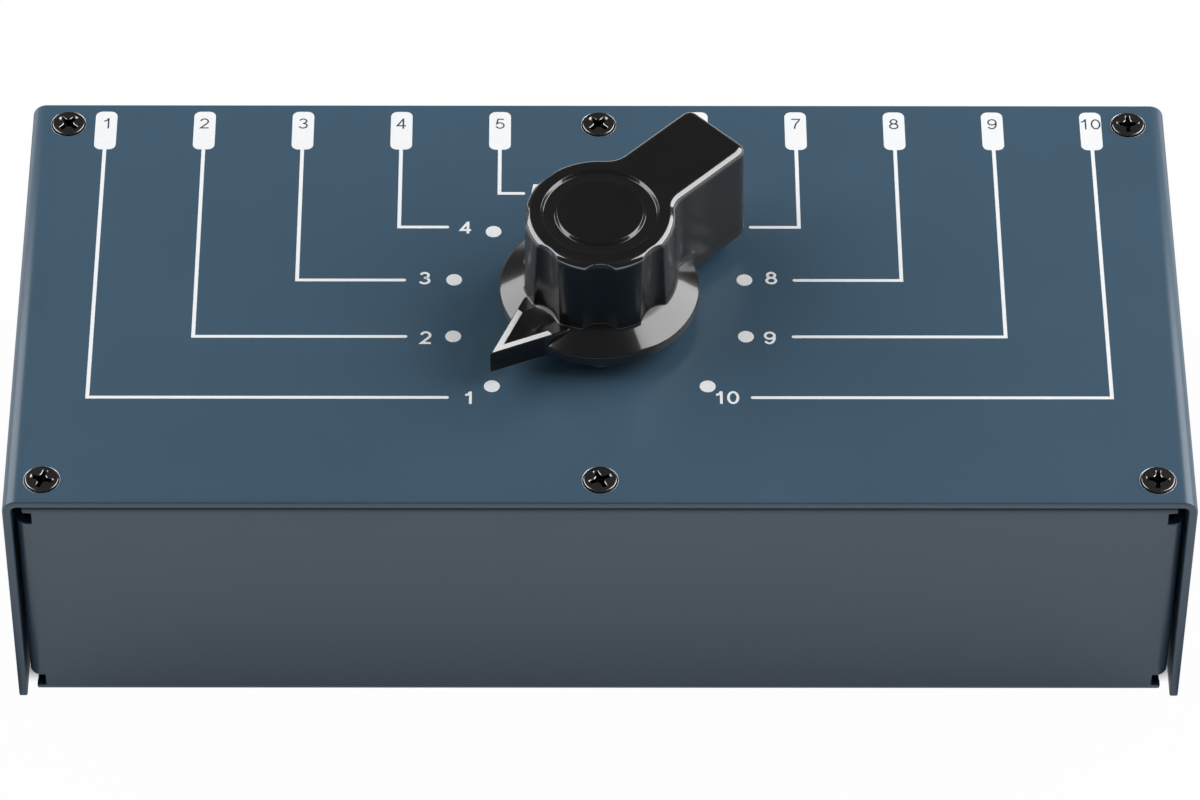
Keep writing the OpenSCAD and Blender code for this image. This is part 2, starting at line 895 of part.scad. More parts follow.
module spacer(low, high) {
    translate([0, 0, low])
        difference() {
            cylinder(d = tie_d + bore_clear + 2 * spacer_wall, h = high - low);
            translate([0, 0, -eps])
                cylinder(d = tie_d + bore_clear, h = high - low + 2 * eps);
        }
}

module tie_rods() {
    low = wafer_zs[1] - wafer_t / 2 - tie_nut_h - tie_end;
    color("#c4c6c8")
    on_axis(low)
        tie_places()
            cylinder(d = tie_d, h = under_z - low);
}

module tie_rod_nuts() {
    color("#c4c6c8")
    on_axis(wafer_zs[1] - wafer_t / 2 - tie_nut_h)
        tie_places()
            difference() {
                cylinder(d = tie_nut_af / cos(30), h = tie_nut_h, $fn = 6);
                translate([0, 0, -eps])
                    cylinder(d = tie_d + bore_clear, h = tie_nut_h + 2 * eps);
            }
}

module jack(i, row) {
    color("#18181a")
    difference() {
        at_jack(i, row)
            difference() {
                union() {
                    translate([-jack_w / 2, -jack_h / 2, -jack_l])
                        cube([jack_w, jack_h, jack_l]);
                    translate([0, 0, -eps])
                        cylinder(d = nose_d, h = wall_out + eps);
                }
                translate([0, 0, wall_out - jack_depth])
                    cylinder(d = jack_bore, h = jack_depth + eps);
            }
        pins(i, row, 2 * run_clear);
    }
}

// A socket's two solder pins, from its body into the board
module pins(i, row, clear) {
    way = row == 0 ? 1 : -1;
    low = board_z - way * (board_t / 2 - pin_short);
    for (y = pin_ys)
        translate([column_x(i) + way * pin_x, y, low])
            rotate([row * 180, 0, 0])
                cylinder(d = pin_d + clear, h = board_t - pin_short + pin_in + clear);
}

module jack_pins() {
    color("#d2c07a")
    for (i = [0:columns - 1])
        for (row = [0, 1])
            pins(i, row, 0);
}

module jack_board() {
    color("#1f5c3a")
    difference() {
        translate([-board_w / 2, board_front, board_z - board_t / 2])
            cube([board_w, inner_back - wall_clear - board_front, board_t]);
        for (i = [0:columns - 1])
            for (row = [0, 1])
                for (y = pin_ys)
                    translate([column_x(i) + (row == 0 ? 1 : -1) * pin_x, y, board_z - board_t])
                        cylinder(d = pin_d + 2 * run_clear, h = 2 * board_t);
    }
}

module jack_nuts() {
    color("#b8babc")
    at_jacks()
        translate([0, 0, sheet_t + washer_t])
            difference() {
                cylinder(d = nut_af / cos(30), h = nut_t, $fn = 6);
                translate([0, 0, -eps])
                    cylinder(d = nose_d + bore_clear, h = nut_t + 2 * eps);
            }
}

module jack_washers() {
    washer_rim = 0.4;
    washer_d = nut_af + 2 * washer_rim;
    color("#c8cacc")
    at_jacks()
        translate([0, 0, sheet_t])
            difference() {
                cylinder(d = washer_d, h = washer_t);
                translate([0, 0, -eps])
                    cylinder(d = nose_d + bore_clear, h = washer_t + 2 * eps);
            }
}

// A flat lead soldered on the board, bent up or down to the lugs at the back of its wafer
module ribbon(deck) {
    way = deck == 0 ? 1 : -1;
    foot = jack_front - wall_clear;
    lift = board_t / 2;
    reach = wafer_offset + wafer_t / 2;
    color("#7d8794")
    translate([0, 0, board_z])
        scale_z(way)
            along_x(ribbon_w)
                union() {
                    translate([ribbon_y + ribbon_bend - ribbon_t / 2, lift])
                        square([foot - ribbon_y - ribbon_bend + ribbon_t / 2, ribbon_t]);
                    translate([ribbon_y - ribbon_t / 2, lift + ribbon_bend])
                        square([ribbon_t, reach - lift - ribbon_bend]);
                    intersection() {
                        translate([ribbon_y - ribbon_t / 2, lift])
                            square(ribbon_bend);
                        translate([ribbon_y - ribbon_t / 2 + ribbon_bend, lift + ribbon_bend])
                            difference() {
                                circle(ribbon_bend);
                                circle(ribbon_bend - ribbon_t);
                            }
                    }
                }
}

// Turns a shape over about the X axis where way is -1
module scale_z(way) {
    if (way > 0)
        children();
    else
        mirror([0, 0, 1])
            children();
}

top_cover();
chassis();
cover_screws();
clinch_nuts();
switch_plate();
switch_bush();
switch_screws();
detent_housing();
detent_ball();
detent_spring();
wafer(0);  // wafer_left
wafer(1);  // wafer_right
wafer_contacts();
wafer_spacers();
tie_rods();
tie_rod_nuts();
jack_board();
ribbon(0);  // ribbon_left
ribbon(1);  // ribbon_right
jack_nuts();
jack_washers();
jack_pins();
knob();
pointer_inlay();
knob_insert();
knob_set_screw();
switch_shaft();
shaft_ring();
detent_wheel();
rotor(0);  // rotor_left
rotor(1);  // rotor_right
rotor_blade(0);  // rotor_blade_left
rotor_blade(1);  // rotor_blade_right
for (end = [-1, 1])
    for (side = [-1, 1])
        rubber_foot(end, side);
for (i = [0:columns - 1])
    for (row = [0, 1])
        jack(i, row);
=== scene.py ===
"""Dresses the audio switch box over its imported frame: case, screws, sockets, moulded knob and printed dial.

Shapes are worked out in millimetres in the part's own frame, and become metres where a mesh is made.
"""

import json

import bmesh
import bpy
import numpy as np
from mathutils import Matrix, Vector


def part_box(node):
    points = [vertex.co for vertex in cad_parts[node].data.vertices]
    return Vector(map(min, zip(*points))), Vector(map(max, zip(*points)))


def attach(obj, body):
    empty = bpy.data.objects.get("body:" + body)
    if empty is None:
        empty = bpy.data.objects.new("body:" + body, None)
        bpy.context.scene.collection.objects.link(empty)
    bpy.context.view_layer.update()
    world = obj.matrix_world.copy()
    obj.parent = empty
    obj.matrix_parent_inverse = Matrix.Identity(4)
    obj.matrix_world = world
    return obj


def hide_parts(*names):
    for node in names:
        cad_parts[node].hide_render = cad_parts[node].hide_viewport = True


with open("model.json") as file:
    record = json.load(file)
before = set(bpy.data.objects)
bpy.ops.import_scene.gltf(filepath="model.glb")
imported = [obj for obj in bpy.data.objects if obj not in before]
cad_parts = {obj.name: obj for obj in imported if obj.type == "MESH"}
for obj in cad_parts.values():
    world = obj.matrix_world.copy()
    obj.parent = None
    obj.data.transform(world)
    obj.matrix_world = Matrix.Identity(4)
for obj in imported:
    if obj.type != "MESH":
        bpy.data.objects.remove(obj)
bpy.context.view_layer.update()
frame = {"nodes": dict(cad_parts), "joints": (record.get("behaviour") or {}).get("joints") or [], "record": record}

MM = 0.001
FULL = 2 * np.pi


def corners(node):
    """A node's lowest and highest corners, in millimetres."""
    low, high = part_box(node)
    return np.array(low) / MM, np.array(high) / MM


# Sizes of the case

COVER_LOW, COVER_HIGH = corners("top_cover")
FRONT, REAR, TOP = COVER_LOW[1], COVER_HIGH[1], COVER_HIGH[2]
INPUTS = range(1, 11)
SIDES = ("left", "right")
COLUMNS = [*(f"input_{n}" for n in INPUTS), "output"]
JACKS = [f"{column}_{side}_jack" for column in COLUMNS for side in SIDES]
FEET = [f"rubber_foot_{end}_{side}" for end in ("front", "rear") for side in SIDES]


# Sizes of the knob

AXIS_X, AXIS_Y = (value / MM for value in frame["joints"][0]["pos_m"][:2])
KNOB_LOW, KNOB_TOP = (corner[2] for corner in corners("knob"))
KNOB_H = KNOB_TOP - KNOB_LOW
REST_TURN = np.radians(225)
BARREL_R, FLUTE_R, FLUTE_DEPTH = 14.5, 7.5, 1.2
FLUTE_TURNS = np.radians((0, 45, 90))
BAR_HALF, BAR_REACH, BAR_CORNER, BAR_FILLET = 8.1, 32.2, 2.4, 4.5
SKIRT_R, RIM_H, SHOULDER_H = 18.8, 2.2, 5.0
POINTER_REACH, POINTER_HALF = 28.8, np.radians(22)
CHANNEL_IN, CHANNEL_OUT, CHANNEL_DEPTH = 8.1, 11.0, 0.6
EDGE_ROUND, DRAFT = 1.4, 0.4
HOLE_R, HOLE_DEPTH = 5.55, 16.6


# Surfaces and meshes


def turned(profile, count=72):
    """Radius and height pairs turned about Z: x and y are the radius times the turn's cosine and sine."""
    radius, height = np.array(profile, float).T[:, :, None]
    turn = np.linspace(0, FULL, count, endpoint=False)
    return np.stack([radius * np.cos(turn), radius * np.sin(turn), height + 0 * turn], -1)


def angles(start, end, steps=5):
    """Evenly spaced angles from start to end, given in degrees, in radians."""
    return np.radians(np.linspace(start, end, steps))


def rounding(radius, start=0, end=90, steps=5):
    """Inset and drop down a rounded edge: the radius times one less the sine and one less the cosine."""
    angle = angles(start, end, steps)
    return radius * np.stack([1 - np.sin(angle), 1 - np.cos(angle)], -1)


def rounded_loop(width, depth, radius, steps=6):
    """The outline of a rectangle about the origin: four quarter circles joined by its straight sides."""
    bend = np.concatenate([angles(start, start + 90, steps) for start in (0, 90, 180, 270)])
    side = np.repeat([[1, 1], [-1, 1], [-1, -1], [1, -1]], steps, 0)
    middle = side * [width / 2 - radius, depth / 2 - radius]
    return middle + radius * np.stack([np.cos(bend), np.sin(bend)], -1)


def spun(points, turn):
    """Points turned about the Z axis."""
    cosine, sine = np.cos(turn), np.sin(turn)
    return points @ np.array([[cosine, sine, 0], [-sine, cosine, 0], [0, 0, 1]])


def skin_quads(rows, columns):
    """Corner numbers of the quads between rows of closed rings."""
    row, column = np.mgrid[0:rows - 1, 0:columns]
    after = (column + 1) % columns
    here, below = row * columns, (row + 1) * columns
    return np.stack([here + column, below + column, below + after, here + after], -1).reshape(-1, 4)


def shut(rings):
    """Rows of rings with the middle of the first and last ring added as poles, so that the skin is closed."""
    first, last = (np.broadcast_to(ring.mean(0), ring.shape) for ring in (rings[0], rings[-1]))
    return np.concatenate([first[None], rings, last[None]])


def make_mesh(name, skins, join=1e-7):
    """One mesh from closed skins in millimetres, with poles and seams joined and faces turned outwards."""
    points, faces, count = [], [], 0
    for skin in skins:
        rows, columns = skin.shape[:2]
        points.append(skin.reshape(-1, 3) * MM)
        faces.append(skin_quads(rows, columns) + count)
        count += rows * columns
    mesh = bpy.data.meshes.new(name)
    mesh.from_pydata(np.concatenate(points), [], np.concatenate(faces))
    shape = bmesh.new()
    shape.from_mesh(mesh)
    bmesh.ops.remove_doubles(shape, verts=shape.verts, dist=join)
    bmesh.ops.dissolve_degenerate(shape, edges=shape.edges, dist=join)
    bmesh.ops.recalc_face_normals(shape, faces=shape.faces)
    shape.to_mesh(mesh)
    shape.free()
    return mesh


def place(name, mesh, body, slot, stands_for=(), finish=None, crease=32):
    """Puts a mesh in the scene as one piece that rides on a body, with its slot's finish or another one.

    It is shaded smooth, broken at edges sharper than the crease in degrees.
    """
    mesh.shade_smooth()
    mesh.set_sharp_from_angle(angle=np.radians(crease))
    piece = bpy.data.objects.new(name, mesh)
    bpy.context.scene.collection.objects.link(piece)
    mesh.materials.clear()
    mesh.materials.append((finish or FINISHES[slot]).material)
    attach(piece, body)
    if stands_for:
        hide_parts(*stands_for)
    return piece


def place_skins(name, skins, body, slot, stands_for=(), finish=None):
    """Makes one piece of closed skins and puts it in the scene."""
    place(name, make_mesh(name, skins), body, slot, stands_for, finish)


def cut(mesh, cutters):
    """The mesh with the cutters' skins taken out of it."""
    holder = bpy.data.objects.new("blank", mesh)
    tool = bpy.data.objects.new("cutter", make_mesh("cutter", cutters))
    for each in (holder, tool):
        bpy.context.scene.collection.objects.link(each)
    step = holder.modifiers.new("cut", "BOOLEAN")
    step.object, step.operation, step.solver = tool, "DIFFERENCE", "EXACT"
    bpy.context.view_layer.update()
    done = bpy.data.meshes.new_from_object(holder.evaluated_get(bpy.context.evaluated_depsgraph_get()))
    done.name = mesh.name
    for each in (holder, tool):
        bpy.data.objects.remove(each)
    return done


def eased_copy(node, name, slot, ease, join=1e-6, flat=0.4, sharp=40):
    """A node's own mesh on the case: loose triangles joined, flat faces made whole, sharp edges bevelled.

    Faces are flat within the flat angle and edges are sharp past the sharp one, both in degrees.
    """
    shape = bmesh.new()
    shape.from_mesh(frame["nodes"][node].data)
    bmesh.ops.remove_doubles(shape, verts=shape.verts, dist=join)
    bmesh.ops.dissolve_limit(shape, angle_limit=np.radians(flat), verts=shape.verts, edges=shape.edges)
    mesh = bpy.data.meshes.new(name)
    shape.to_mesh(mesh)
    shape.free()
    piece = place(name, mesh, "case", slot, [node])
    bevel = piece.modifiers.new("eased edges", "BEVEL")
    bevel.width, bevel.segments = ease * MM, 2
    bevel.limit_method, bevel.angle_limit = "ANGLE", np.radians(sharp)
    bevel.use_clamp_overlap = False
    bevel.harden_normals = True


# Finishes


class Tone:
    """A value in a finish. Arithmetic on tones adds Math nodes."""

    def __init__(self, finish, socket):
        self.finish, self.socket = finish, socket

    def maths(self, operation, first, second):
        """One Math node over two values."""
        return self.finish.node("ShaderNodeMath", {"operation": operation}, {0: first, 1: second})

    def __add__(self, other):
        return self.maths("ADD", self, other)

    def __radd__(self, other):
        return self.maths("ADD", other, self)

    def __sub__(self, other):
        return self.maths("SUBTRACT", self, other)

    def __rsub__(self, other):
        return self.maths("SUBTRACT", other, self)

    def __mul__(self, other):
        return self.maths("MULTIPLY", self, other)

    def __rmul__(self, other):
        return self.maths("MULTIPLY", other, self)


def tint(colour, share=1.0):
    """A colour, lightened or darkened by a share, with full alpha."""
    return (*(min(1.0, value * share) for value in colour), 1.0)


class Finish:
    """One material: a Principled shader with its constants, and nodes for its colour, gloss and relief."""

    def __init__(self, name, **constants):
        self.material = bpy.data.materials.new(name)
        self.material.use_nodes = True
        self.tree = self.material.node_tree
        self.shader = self.tree.nodes["Principled BSDF"]
        self.put(**constants)

    def node(self, kind, settings, sockets, output=0):
        """Adds a node: its settings, then a value or a link for each socket. Gives the chosen output."""
        made = self.tree.nodes.new(kind)
        for name, value in settings.items():
            setattr(made, name, value)
        for socket, value in sockets.items():
            self.feed(made.inputs[socket], value)
        return Tone(self, made.outputs[output])

    def feed(self, socket, value):
        """Links a tone to a socket, or sets a plain value on it."""
        if isinstance(value, Tone):
            self.tree.links.new(value.socket, socket)
        else:
            socket.default_value = value

    def put(self, **values):
        """Feeds the shader's own sockets."""
        for socket, value in values.items():
            self.feed(self.shader.inputs[socket.replace("_", " ")], value)

    def at(self, stretch=(1, 1, 1)):
        """Object coordinates, stretched along the axes."""
        where = self.node("ShaderNodeTexCoord", {}, {}, "Object")
        return self.node("ShaderNodeVectorMath", {"operation": "MULTIPLY"}, {0: where, 1: stretch})

    def axis(self, axis):
        """One of the object coordinates, in metres."""
        return self.node("ShaderNodeSeparateXYZ", {}, {0: self.at()}, axis)

    def noise(self, size, detail=2.0, stretch=(1, 1, 1)):
        """Noise from 0 to 1 whose blotches are about size millimetres."""
        sockets = {"Vector": self.at(stretch), "Scale": 1 / (size * MM), "Detail": detail}
        return self.node("ShaderNodeTexNoise", {}, sockets)

    def ramp(self, value, low, high):
        """0 below low, 1 above high and a straight rise between them."""
        return self.node("ShaderNodeMapRange", {}, {"Value": value, "From Min": low, "From Max": high})

    def ramp_mm(self, value, low, high):
        """A ramp over a coordinate, its two ends given in millimetres."""
        return self.ramp(value, low * MM, high * MM)

    def mix(self, share, first, second):
        """A colour between two colours."""
        return self.node("ShaderNodeMix", {"data_type": "RGBA"}, {0: share, 6: first, 7: second}, 2)

    def drift(self, share, colour, first, second):
        """A colour between two tints of itself."""
        return self.mix(share, tint(colour, first), tint(colour, second))

    def relief(self, height, depth):
        """Raises the surface by the height, over a depth in millimetres."""
        self.put(Normal=self.node("ShaderNodeBump", {}, {"Height": height, "Distance": depth * MM}))


def satin_paint(name, colour):
    """Baked satin paint: an orange-peel skin with fine grain, and a faint drift in depth of colour."""
    finish = Finish(name, IOR=1.6)
    peel = finish.noise(0.9, 3)
    cloud = finish.noise(24, 3)
    grain = finish.noise(0.22, 2)
    finish.put(Base_Color=finish.drift(finish.ramp(0.6 * cloud + 0.4 * grain, 0.3, 0.7), colour, 0.95, 1.05),
               Roughness=0.27 + 0.08 * grain)
    finish.relief(0.6 * peel + 0.4 * grain, 0.010)
    return finish


def moulded_plastic(name, colour, gloss, wear=0.08, **constants):
    """Moulded plastic: faint flow marks, fine handling haze in the gloss and a barely wavy skin."""
    finish = Finish(name, **constants)
    haze = finish.noise(5, 4)
    flow = finish.noise(14, 2)
    grain = finish.noise(0.12, 2)
    finish.put(Base_Color=finish.drift(finish.ramp(flow, 0.3, 0.7), colour, 0.85, 1.15),
               Roughness=gloss + wear * finish.ramp(haze, 0.35, 0.75) + 0.02 * grain)
    finish.relief(0.8 * finish.noise(3, 1) + 0.2 * grain, 0.006)
    return finish


def buffed_plastic(name, colour):
    """Black moulded plastic under a clear gloss where it is buffed.

    The gloss is full along the knob's upper edges, half in the ring channel and on the skirt, less on the
    flat top, and none on the grip's walls or low down past the skirt's rim.
    """
    finish = moulded_plastic(name, colour, 0.17, 0.06, IOR=1.55, Coat_IOR=2.05, Coat_Roughness=0.06)
    height = finish.axis(2)
    radius = finish.node("ShaderNodeVectorMath", {"operation": "DISTANCE"},
                         {0: finish.at((1, 1, 0)), 1: (AXIS_X * MM, AXIS_Y * MM, 0)}, "Value")
    upper = finish.ramp_mm(height, KNOB_TOP - 1.7, KNOB_TOP - 1.0)
    flat_top = finish.ramp_mm(height, KNOB_TOP - 0.05, KNOB_TOP - 0.01)
    past_channel = finish.ramp_mm(radius, CHANNEL_OUT + 0.4, CHANNEL_OUT + 0.6)
    above_skirt = finish.ramp_mm(height, KNOB_LOW + SHOULDER_H, KNOB_LOW + SHOULDER_H + 0.4)
    past_skirt = finish.ramp_mm(radius, SKIRT_R + 0.1, SKIRT_R + 0.5)
    edges = upper * (1 - 0.7 * flat_top) * (0.5 + 0.5 * past_channel)
    finish.put(Coat_Weight=edges + 0.5 * (1 - above_skirt) * (1 - past_skirt))
    return finish


def plated_metal(name, colour, gloss):
    """Plated or turned metal: fine marks in its gloss and relief, and a faint stain in its colour."""
    finish = Finish(name, Metallic=1.0)
    marks = finish.noise(0.25, 3)
    stain = finish.noise(4, 3)
    finish.put(Base_Color=finish.drift(finish.ramp(stain, 0.3, 0.75), colour, 1, 0.78),
               Roughness=gloss + 0.14 * marks)
    finish.relief(marks, 0.006)
    return finish


def blackened_steel(name, colour, gloss):
    """Blackened screw steel, with painted shade that makes it nearly black below the face of its head."""
    finish = plated_metal(name, colour, gloss)
    # painted shade: in the recess and down the head's side, below its face, the colour falls to nearly black
    face = finish.ramp_mm(finish.axis(2), TOP - 0.05, TOP + 0.3)
    stained = finish.drift(finish.noise(1.5, 3), colour, 1, 0.75)
    finish.put(Base_Color=finish.mix(face, tint(colour, 0.08), stained))
    return finish


def screen_ink(name, colour):
    """Screen-printed ink: slightly uneven cover with a faint mesh grain."""
    finish = Finish(name, IOR=1.45)
    cover = finish.noise(0.5, 3)
    finish.put(Base_Color=finish.drift(finish.ramp(cover, 0.3, 0.7), colour, 0.97, 1.02),
               Roughness=0.42 + 0.1 * cover)
    finish.relief(finish.noise(0.15, 2), 0.004)
    return finish


def soft_rubber(name, colour):
    """Moulded rubber: a matt, finely pitted skin with dusty patches."""
    finish = Finish(name, IOR=1.5)
    pits = finish.noise(0.3, 3)
    dust = finish.ramp(finish.noise(3, 4), 0.45, 0.8)
    finish.put(Base_Color=finish.drift(dust, colour, 1, 2.2), Roughness=0.72 + 0.15 * pits)
    finish.relief(pits, 0.03)
    return finish


def circuit_mask(name, colour):
    """Solder mask over copper: a glossy skin with darker tracks along the board."""
    finish = Finish(name, IOR=1.5)
    tracks = finish.node("ShaderNodeTexWave", {"bands_direction": "X"},
                         {"Vector": finish.at(), "Scale": 120.0, "Distortion": 2.0, "Detail": 1.0})
    finish.put(Base_Color=finish.drift(finish.ramp(tracks, 0.55, 0.65), colour, 0.75, 1.25),
               Roughness=0.28 + 0.1 * finish.noise(2, 2))
    finish.relief(finish.ramp(tracks, 0.5, 0.7), 0.03)
    return finish


def laminate(name, colour):
    """Paper laminate: fine fibres that run one way, in colour and gloss."""
    finish = Finish(name, IOR=1.5)
    fibre = finish.noise(0.6, 4, (0.15, 1, 1))
    finish.put(Base_Color=finish.drift(finish.ramp(fibre, 0.3, 0.7), colour, 0.75, 1.25),
               Roughness=0.40 + 0.15 * fibre)
    finish.relief(fibre, 0.02)
    return finish


def ribbon_jacket(name, colour, stripe):
    """Flat ribbon lead: a row of ribbed cores along X, with one marked edge."""
    finish = Finish(name, IOR=1.48)
    cores = finish.node("ShaderNodeTexWave", {"bands_direction": "X", "wave_profile": "SIN"},
                        {"Vector": finish.at(), "Scale": 250.0})
    edge = finish.ramp_mm(finish.axis(0), 5.8, 5.9)
    scuff = finish.noise(0.8, 3)
    finish.put(Base_Color=finish.mix(edge, finish.drift(scuff, colour, 0.9, 1.1), tint(stripe)),
               Roughness=0.45 + 0.1 * scuff)
    finish.relief(cores, 0.25)
    return finish


PANEL_BLUE = (0.0545, 0.1065, 0.160)
INK_WHITE = (0.95, 0.965, 0.98)
INK_BLUE = (0.030, 0.045, 0.085)

# Each slot's kind of finish, its colour and what else that finish takes
FINISHES = {slot: kind(slot, *settings) for slot, kind, *settings in (
    ("panel_paint", satin_paint, PANEL_BLUE),
    ("chassis_paint", satin_paint, PANEL_BLUE),
    ("black_screw", blackened_steel, (0.33, 0.32, 0.31), 0.12),
    ("zinc_steel", plated_metal, (0.58, 0.59, 0.60), 0.28),
    ("polished_steel", plated_metal, (0.32, 0.32, 0.33), 0.24),
    ("brass", plated_metal, (0.62, 0.44, 0.17), 0.24),
    ("housing_plastic", moulded_plastic, (0.045, 0.047, 0.052), 0.45),
    ("nylon", moulded_plastic, (0.78, 0.74, 0.63), 0.42),
    ("wafer_board", laminate, (0.26, 0.12, 0.04)),
    ("contact_metal", plated_metal, (0.70, 0.56, 0.26), 0.22),
    ("circuit_board", circuit_mask, (0.014, 0.107, 0.042)),
    ("ribbon_jacket", ribbon_jacket, (0.21, 0.24, 0.29), (0.35, 0.03, 0.03)),
    ("nickel", plated_metal, (0.62, 0.62, 0.61), 0.20),
    ("jack_plastic", moulded_plastic, (0.012, 0.012, 0.013), 0.38),
    ("foot_rubber", soft_rubber, (0.014, 0.014, 0.014)),
    ("knob_plastic", buffed_plastic, (0.0085, 0.0085, 0.0085)),
    ("white_inlay", screen_ink, INK_WHITE),
)}
TAB_INK = screen_ink("tab_number_ink", INK_BLUE)


# Case


def cover_skin(sheet=1.6, bend=2.8, ease=0.35, beside_bend=0.4, above_edge=2.0):
    """The cover's sheet: a long rounded bar section, cover depth by sheet thickness, carried along a line.

    The line runs up the left cheek, round a quarter circle, across the top and down the right cheek. Each
    point of the section stands off the line along its normal, and the section shrinks in a quarter circle at
    both lower edges.
    """
    half, low, high = COVER_HIGH[0] - sheet / 2, COVER_LOW[2], TOP - sheet / 2
    radius, depth = bend - sheet / 2, REAR - FRONT
    drawn_in, lift = rounding(ease).T
    arc = angles(180, 90, 13)
    swing = np.stack([np.cos(arc), np.sin(arc)], -1)
    upright = np.concatenate([low + lift, [low + above_edge, high - radius - beside_bend]])
    left = np.concatenate([
        np.stack([np.full(len(upright), -half), upright], -1),
        [radius - half, high - radius] + radius * swing,
        [[radius + beside_bend - half, high]],
    ])
    facing = np.concatenate([np.tile([-1.0, 0.0], (len(upright), 1)), swing, [[0.0, 1.0]]])
    shrink = np.concatenate([drawn_in, np.zeros(len(left) - len(drawn_in))])
    mirrored = [-1, 1]
    line = np.concatenate([left, left[::-1] * mirrored])
    normal = np.concatenate([facing, facing[::-1] * mirrored])
    shrink = np.concatenate([shrink, shrink[::-1]])[:, None]
    section = rounded_loop(depth, sheet, ease, 4)
    inward = (section - rounded_loop(depth - 2 * ease, sheet - 2 * ease, 0.001, 4)) / ease
    along = section[:, 0] - shrink * inward[:, 0]
    off = section[:, 1] - shrink * inward[:, 1]
    x = line[:, :1] + off * normal[:, :1]
    z = line[:, 1:] + off * normal[:, 1:]
    return shut(np.stack([x, (FRONT + REAR) / 2 + along, z], -1))


SCREW_SPOTS = [(x, y) for x in (-102.8, 0.0, 102.8) for y in (FRONT + 5.7, REAR - 5.4)]
FIXING_SPOTS = [(AXIS_X, AXIS_Y + step) for step in (-13.4, 13.4)]
SEAT_R, SEAT_DEPTH, SEAT_OVER = 3.35, 1.75, 0.4
FIXING_HOLE_R, BUSH_HOLE_R = 1.6, 5.05
CUT_LOW, CUT_HIGH = TOP - 3, TOP + 1
THREAD_R = 1.45
COVER_SCREW_RISE, FIXING_SCREW_RISE = 0.4, 1.6


def hole(x, y, profile):
    """A turned cutter set at a place on the cover."""
    return shut(turned(profile)) + [x, y, 0]


def straight_hole(x, y, radius):
    """A straight round cutter through the cover."""
    return hole(x, y, [(radius, CUT_LOW), (radius, CUT_HIGH)])


def seat_cutter(x, y):
    """A countersunk cutter: a straight hole under a cone that widens by as much as it rises."""
    neck = SEAT_R - SEAT_DEPTH
    cone = [(neck, TOP - SEAT_DEPTH), (SEAT_R, TOP), (SEAT_R + SEAT_OVER, TOP + SEAT_OVER)]
    return hole(x, y, [(neck, CUT_LOW), *cone])


cover_cutters = [seat_cutter(x, y) for x, y in SCREW_SPOTS]
cover_cutters += [straight_hole(x, y, FIXING_HOLE_R) for x, y in FIXING_SPOTS]
cover_cutters += [straight_hole(AXIS_X, AXIS_Y, BUSH_HOLE_R)]
cover_sheet = cut(make_mesh("cover_sheet", [cover_skin()]), cover_cutters)
place("cover_sheet", cover_sheet, "case", "panel_paint", ["top_cover"])
eased_copy("chassis", "chassis_tray", "chassis_paint", 0.25)


def cross_loop(span, slot):
    """The outline of a cross about the origin: four arms with eased ends, joined by rounded shoulders.

    A shoulder is a quarter circle whose radius is a fifth of span less slot.
    """
    shoulder, ease = (span - slot) / 5, slot / 8
    bend = angles(180, 90)
    corner = [slot / 2 + shoulder * (1 + np.cos(bend)), shoulder * (np.sin(bend) - 1) - slot / 2]
    near, far, side = span / 2 - ease, span / 2, slot / 2
    tip = [(near, -side), (far, ease - side), (far, side - ease), (near, side)]
    arm = np.concatenate([np.stack(corner, -1), tip])
    return np.concatenate([arm @ [[cosine, sine], [-sine, cosine]]
                           for cosine, sine in ((1, 0), (0, 1), (-1, 0), (0, -1))])


def recess_skin(face, span, slot, depth, turn):
    """A cross recess as a cutter: outlines that narrow from a chamfer at the head's face to a blunt tip."""
    stations = [
        (span + 1.0, slot + 1.0, face + 0.4),
        (span, slot, face - 0.1),
        (0.66 * span, 0.86 * slot, face - 0.6 * depth),
        (0.28 * span, 0.6 * slot, face - depth),
    ]
    loops = [np.insert(cross_loop(wide, narrow), 2, level, 1) for wide, narrow, level in stations]
    return spun(shut(np.stack(loops)), turn)


def cover_screw(rise=COVER_SCREW_RISE, head=3.1, rim=0.18, crown=0.04, neck=-0.23, tip=-7.8):
    """A countersunk screw: a barely crowned head with a rounded rim and a short side, a cone and a thread."""
    radius = np.linspace(0.3, head - rim, 8)
    face = np.stack([radius, rise - crown * (radius / head) ** 2], -1)
    edge = [head, rise - crown] - rounding(rim, 12)
    side = [(head, 0.1), (head, neck), (THREAD_R, neck - head + THREAD_R), (THREAD_R, tip)]
    return shut(turned(np.concatenate([face, edge, side]) + [0, TOP], 96))


def fixing_screw(rise=FIXING_SCREW_RISE, head=2.3, tip=-4.6):
    """A domed screw: its crown is part of a sphere, over a plain thread."""
    ball = (head ** 2 + rise ** 2) / (2 * rise)
    radius = np.linspace(0.3, head - 0.12, 14)
    crown = np.stack([radius, rise - ball + np.sqrt(ball ** 2 - radius ** 2)], -1)
    side = [(head, 0.22), (head, 0.02), (THREAD_R, 0.01), (THREAD_R, tip)]
    return shut(turned(np.concatenate([crown, side]) + [0, TOP]))


def screw_set(name, slot, node, blank, spots, turns, face, recess):
    """Screws of one kind: the blank at each spot, with its recess cut at its own turn."""
    heads = make_mesh(name, [blank + [x, y, 0] for x, y in spots])
    crosses = [recess_skin(face, *recess, turn) + [x, y, 0] for turn, (x, y) in zip(np.radians(turns), spots)]
    place(name, cut(heads, crosses), "case", slot, [node])


# A recess is its span, its arms' width and its depth
screw_set("cover_screw_set", "black_screw", "cover_screws", cover_screw(), SCREW_SPOTS,
          (73, 48, 25, 47, 85, 0), TOP + COVER_SCREW_RISE, (4.3, 0.85, 1.8))
screw_set("switch_fixing_screws", "polished_steel", "switch_screws", fixing_screw(), FIXING_SPOTS,
          (23, 63), TOP + FIXING_SCREW_RISE, (2.6, 0.65, 1.1))

